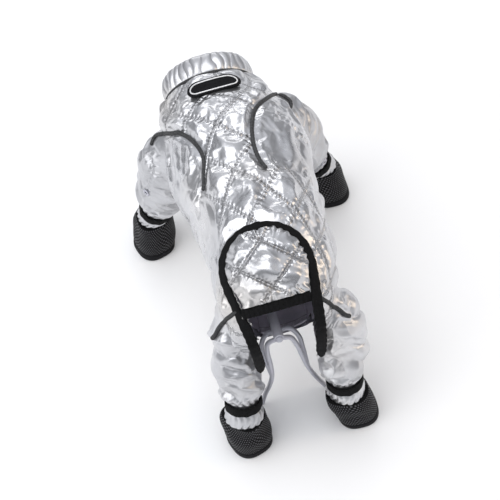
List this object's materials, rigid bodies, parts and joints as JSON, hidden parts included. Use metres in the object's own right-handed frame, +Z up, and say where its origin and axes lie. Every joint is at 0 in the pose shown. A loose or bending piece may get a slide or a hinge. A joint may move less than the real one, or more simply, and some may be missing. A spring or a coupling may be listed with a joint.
{
  "type": "dog jumpsuit on wire stand",
  "caption": "Quilted foil-cloth dog jumpsuit with gathered collar, sleeves, hind legs, black boots and an open arched seat with a padded flap, standing on a plain wire stand.",
  "frame": {"origin": "on the floor under the middle of the suit", "axes": "+X to the dog's right, +Y forward to the neck, +Z up"},
  "size_m": [0.26, 0.3622, 0.2713],
  "materials": {
    "silver_cloth": "metallic foil-coated quilted cloth, soft creased sheen",
    "black_tape": "matte woven black binding and elastic",
    "white_thread": "satin embroidered thread",
    "lining_cloth": "matte dark lining cloth",
    "grey_piping": "dark corded piping, slight sheen",
    "boot_rubber": "moulded rubber with small dimples",
    "grey_metal": "dull pressed eyelet",
    "steel_rod": "grey painted rod and tube, satin"
  },
  "bodies": {
    "root": {"arch_binding": "black_tape", "armhole_piping_right": "grey_piping", "armhole_piping_left": "grey_piping", "hip_piping_right": "grey_piping", "hip_piping_left": "grey_piping", "quilted_body": "silver_cloth", "collar_piping": "grey_piping", "collar": "silver_cloth", "seat_flap": "silver_cloth", "flap_binding": "black_tape", "belly_lining": "lining_cloth", "name_patch": "black_tape", "patch_border": "white_thread", "sleeve_right": "silver_cloth", "sleeve_left": "silver_cloth", "hind_leg_right": "silver_cloth", "hind_leg_left": "silver_cloth", "cuff_front_right": "black_tape", "ankle_skirt_front_right": "silver_cloth", "boot_front_right": "boot_rubber", "sole_front_right": "boot_rubber", "cuff_front_left": "black_tape", "ankle_skirt_front_left": "silver_cloth", "boot_front_left": "boot_rubber", "sole_front_left": "boot_rubber", "cuff_hind_right": "black_tape", "ankle_skirt_hind_right": "silver_cloth", "boot_hind_right": "boot_rubber", "sole_hind_right": "boot_rubber", "cuff_hind_left": "black_tape", "ankle_skirt_hind_left": "silver_cloth", "boot_hind_left": "boot_rubber", "sole_hind_left": "boot_rubber", "eyelet_right": "grey_metal", "eyelet_left": "grey_metal", "wire_stand": "steel_rod"}
  },
  "joints": []
}
